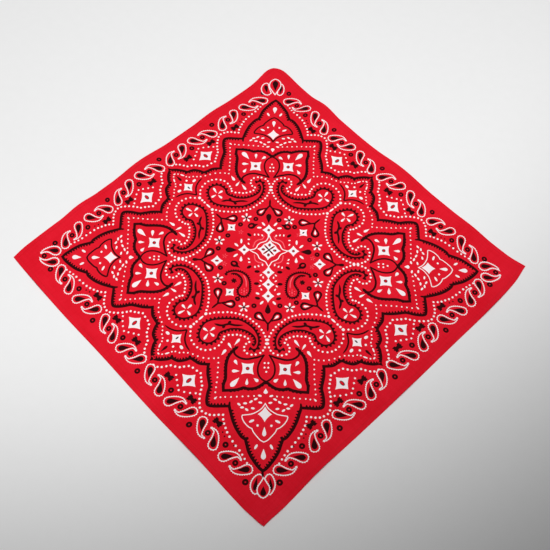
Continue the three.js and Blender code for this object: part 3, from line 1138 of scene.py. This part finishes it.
class BANDANA_OT_hems(bpy.types.Operator):
    """Builds the four turned edges"""

    bl_idname = "bandana.hems"
    bl_label = "Hems"

    def execute(self, context):
        settings = context.scene.bandana_hems
        high, stitch = settings.height / MM, settings.stitch / MM
        shift = cloth_shift()
        stations = int(2 * HALF_PANEL / stitch) * HEM_STATIONS_PER_STITCH
        t = np.linspace(-1, 1, stations + 1)
        red = materials()["bandana_red"]
        k = len(HEM_SECTION)
        for name in EDGES:
            rings = []
            for out, up in HEM_SECTION:
                reach = np.full_like(t, HALF_PANEL + out)
                along = t * (HALF_PANEL + out - 0.1 * SEAM_GAP)
                placed = laid(hem_line(name, reach, along), shift)
                placed[:, 2] += hem_lift(out, up, high, stitch, along)
                rings.append(placed)
            points = np.stack(rings, 1).reshape(-1, 3)
            faces = []
            for i in range(stations):
                for j in range(k):
                    a, b = i * k + j, i * k + (j + 1) % k
                    faces.append((a, b, b + k, a + k))
            faces.append(tuple(range(k))[::-1])
            faces.append(tuple(stations * k + j for j in range(k)))
            hem = made_object(f"hem_fold_{name}", points, faces, [red])
            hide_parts(f"hem_{name}")
            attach(hem, "root")
        return {"FINISHED"}


# Rings along one stitch: along in shares of the pitch, thickness in shares of the thread's, and rise.
STITCH_RINGS = [(-0.42, 0.35, 0.30), (-0.33, 0.9, 0.62), (0.0, 1.0, 0.74), (0.33, 0.9, 0.62),
                (0.42, 0.35, 0.30)]
THREAD_SIDES = 6
THREAD_HALF_WIDTH, THREAD_HALF_HEIGHT = 0.2, 0.17
STITCH_LINE, STITCH_FOOT, STITCH_RISE, STITCH_END = 0.62, 0.60, 0.4, 1.5


class BANDANA_OT_stitches(bpy.types.Operator):
    """Sews the stitches along the hems' inner edges"""

    bl_idname = "bandana.stitches"
    bl_label = "Stitches"

    def execute(self, context):
        settings = context.scene.bandana_hems
        pitch = settings.stitch / MM
        shift = cloth_shift()
        thread_red = materials()["thread_red"]
        half = HALF_PANEL - STITCH_END
        count = int(2 * half / pitch)
        n = THREAD_SIDES
        across = [(math.cos(a), math.sin(a)) for a in np.arange(n) * 2 * math.pi / n]
        middles = (np.arange(count) + 0.5) / count * 2 * half - half
        wander = 0.09 * np.sin(middles * 2.3) + 0.07 * np.sin(middles * 0.7 + 1)
        for name in EDGES:
            rows = []
            for along, thick, lift in STITCH_RINGS:
                for right, up in across:
                    reach = HALF_PANEL + STITCH_LINE + wander + right * THREAD_HALF_WIDTH * thick
                    placed = laid(hem_line(name, reach, middles + along * pitch), shift)
                    placed[:, 2] += STITCH_FOOT + lift * STITCH_RISE + up * THREAD_HALF_HEIGHT * thick
                    rows.append(placed)
            points = np.stack(rows, 1)
            total = points.shape[1]
            faces = []
            for start in range(0, count * total, total):
                for ring in range(start, start + total - n, n):
                    for j in range(n):
                        a, b = ring + j, ring + (j + 1) % n
                        faces.append((a, a + n, b + n, b))
                faces.append(tuple(range(start, start + n)))
                faces.append(tuple(range(start + total - n, start + total))[::-1])
            sewn = made_object(f"stitches_{name}", points.reshape(-1, 3), faces, [thread_red])
            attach(sewn, "root")
        return {"FINISHED"}


# The stage in metres: where the camera looks, half the floor, and the light's place and aim along the
# picture's right and away, and up.
LOOKS_AT = (0.0202, -0.0082, 0.0)
FLOOR_HALF = 6.0
LIGHT_PLACE, LIGHT_AIM = (0.02, -0.06, 2.44), (-0.47, 1.11)
LIGHT_RADIUS, LIGHT_CONE, LIGHT_BLEND = 0.3, math.radians(75.9), 0.36
ROOM_LIGHT = 0.172


class BANDANA_OT_stage(bpy.types.Operator):
    """Builds the floor, the light and the camera"""

    bl_idname = "bandana.stage"
    bl_label = "Stage"

    def execute(self, context):
        settings = context.scene.bandana_stage
        a, e = settings.azimuth, settings.elevation
        back = Vector((math.sin(a) * math.cos(e), -math.cos(a) * math.cos(e), math.sin(e)))
        camera = bpy.data.objects.new("camera", bpy.data.cameras.new("camera"))
        context.scene.collection.objects.link(camera)
        camera.location = Vector(LOOKS_AT) + back * settings.distance
        camera.rotation_mode = "QUATERNION"
        camera.rotation_quaternion = (-back).to_track_quat("-Z", "Y") @ Quaternion((0, 0, 1), settings.roll)
        camera.data.lens = settings.lens
        camera.data.clip_start, camera.data.clip_end = 0.01, 50
        context.scene.camera = camera

        n = Nodes("floor_paper")
        paper = n.noise(n.places(), 60.0, 3.0)
        n.surface({
            "Base Color": n.mix(paper, rgb(239, 239, 239), rgb(242, 242, 242)),
            "Roughness": 0.75 + paper * 0.1,
        })
        half = FLOOR_HALF / MM
        corners = [(-half, -half, 0), (half, -half, 0), (half, half, 0), (-half, half, 0)]
        floor = made_object("floor", corners, [(0, 1, 2, 3)], [n.material])

        right, away = Vector((math.cos(a), math.sin(a), 0)), Vector((-math.sin(a), math.cos(a), 0))
        light = bpy.data.lights.new("key", "SPOT")
        light.energy, light.shadow_soft_size = settings.power, LIGHT_RADIUS
        light.spot_size, light.spot_blend = LIGHT_CONE, LIGHT_BLEND
        key = bpy.data.objects.new("key", light)
        context.scene.collection.objects.link(key)
        key.location = right * LIGHT_PLACE[0] + away * LIGHT_PLACE[1] + Vector((0, 0, LIGHT_PLACE[2]))
        key.rotation_mode = "QUATERNION"
        aim = right * LIGHT_AIM[0] + away * LIGHT_AIM[1]
        key.rotation_quaternion = (key.location - aim).to_track_quat("Z", "Y")
        world = bpy.data.worlds.new("studio")
        world.use_nodes = True
        background = world.node_tree.nodes["Background"]
        background.inputs["Color"].default_value = (1.0, 1.0, 1.0, 1.0)
        background.inputs["Strength"].default_value = ROOM_LIGHT
        context.scene.world = world
        context.scene.view_settings.view_transform = "Standard"
        return {"FINISHED"}


class BANDANA_PT_panel(bpy.types.Panel):
    """Lists the bandana's pieces"""

    bl_label = "Bandana"
    bl_idname = "BANDANA_PT_panel"
    bl_space_type = "VIEW_3D"
    bl_region_type = "UI"
    bl_category = "Bandana"

    def draw(self, context):
        layout = self.layout
        for operator, group in OPERATORS.items():
            box = layout.box()
            box.operator(operator.bl_idname)
            if group:
                settings = getattr(context.scene, group)
                for key in settings.bl_rna.properties.keys():
                    if key not in ("rna_type", "name"):
                        box.prop(settings, key)


GROUPS = {"bandana_panel": PanelSettings, "bandana_hems": HemSettings, "bandana_stage": StageSettings}
# Each operator with the group of settings that the sidebar shows under it
OPERATORS = {
    BANDANA_OT_stage: "bandana_stage",
    BANDANA_OT_panel: "bandana_panel",
    BANDANA_OT_hems: "bandana_hems",
    BANDANA_OT_stitches: None,
}
CLASSES = (*GROUPS.values(), *OPERATORS, BANDANA_PT_panel)


def register():
    for each in CLASSES:
        bpy.utils.register_class(each)
    for name, group in GROUPS.items():
        setattr(bpy.types.Scene, name, bpy.props.PointerProperty(type=group))


def unregister():
    for name in GROUPS:
        delattr(bpy.types.Scene, name)
    for each in reversed(CLASSES):
        bpy.utils.unregister_class(each)


def main():
    bpy.ops.object.select_all(action="DESELECT")
    register()
    bpy.ops.bandana.stage()
    bpy.ops.bandana.panel()
    bpy.ops.bandana.hems()
    bpy.ops.bandana.stitches()
    bpy.context.view_layer.update()


if __name__ == "__main__":
    main()
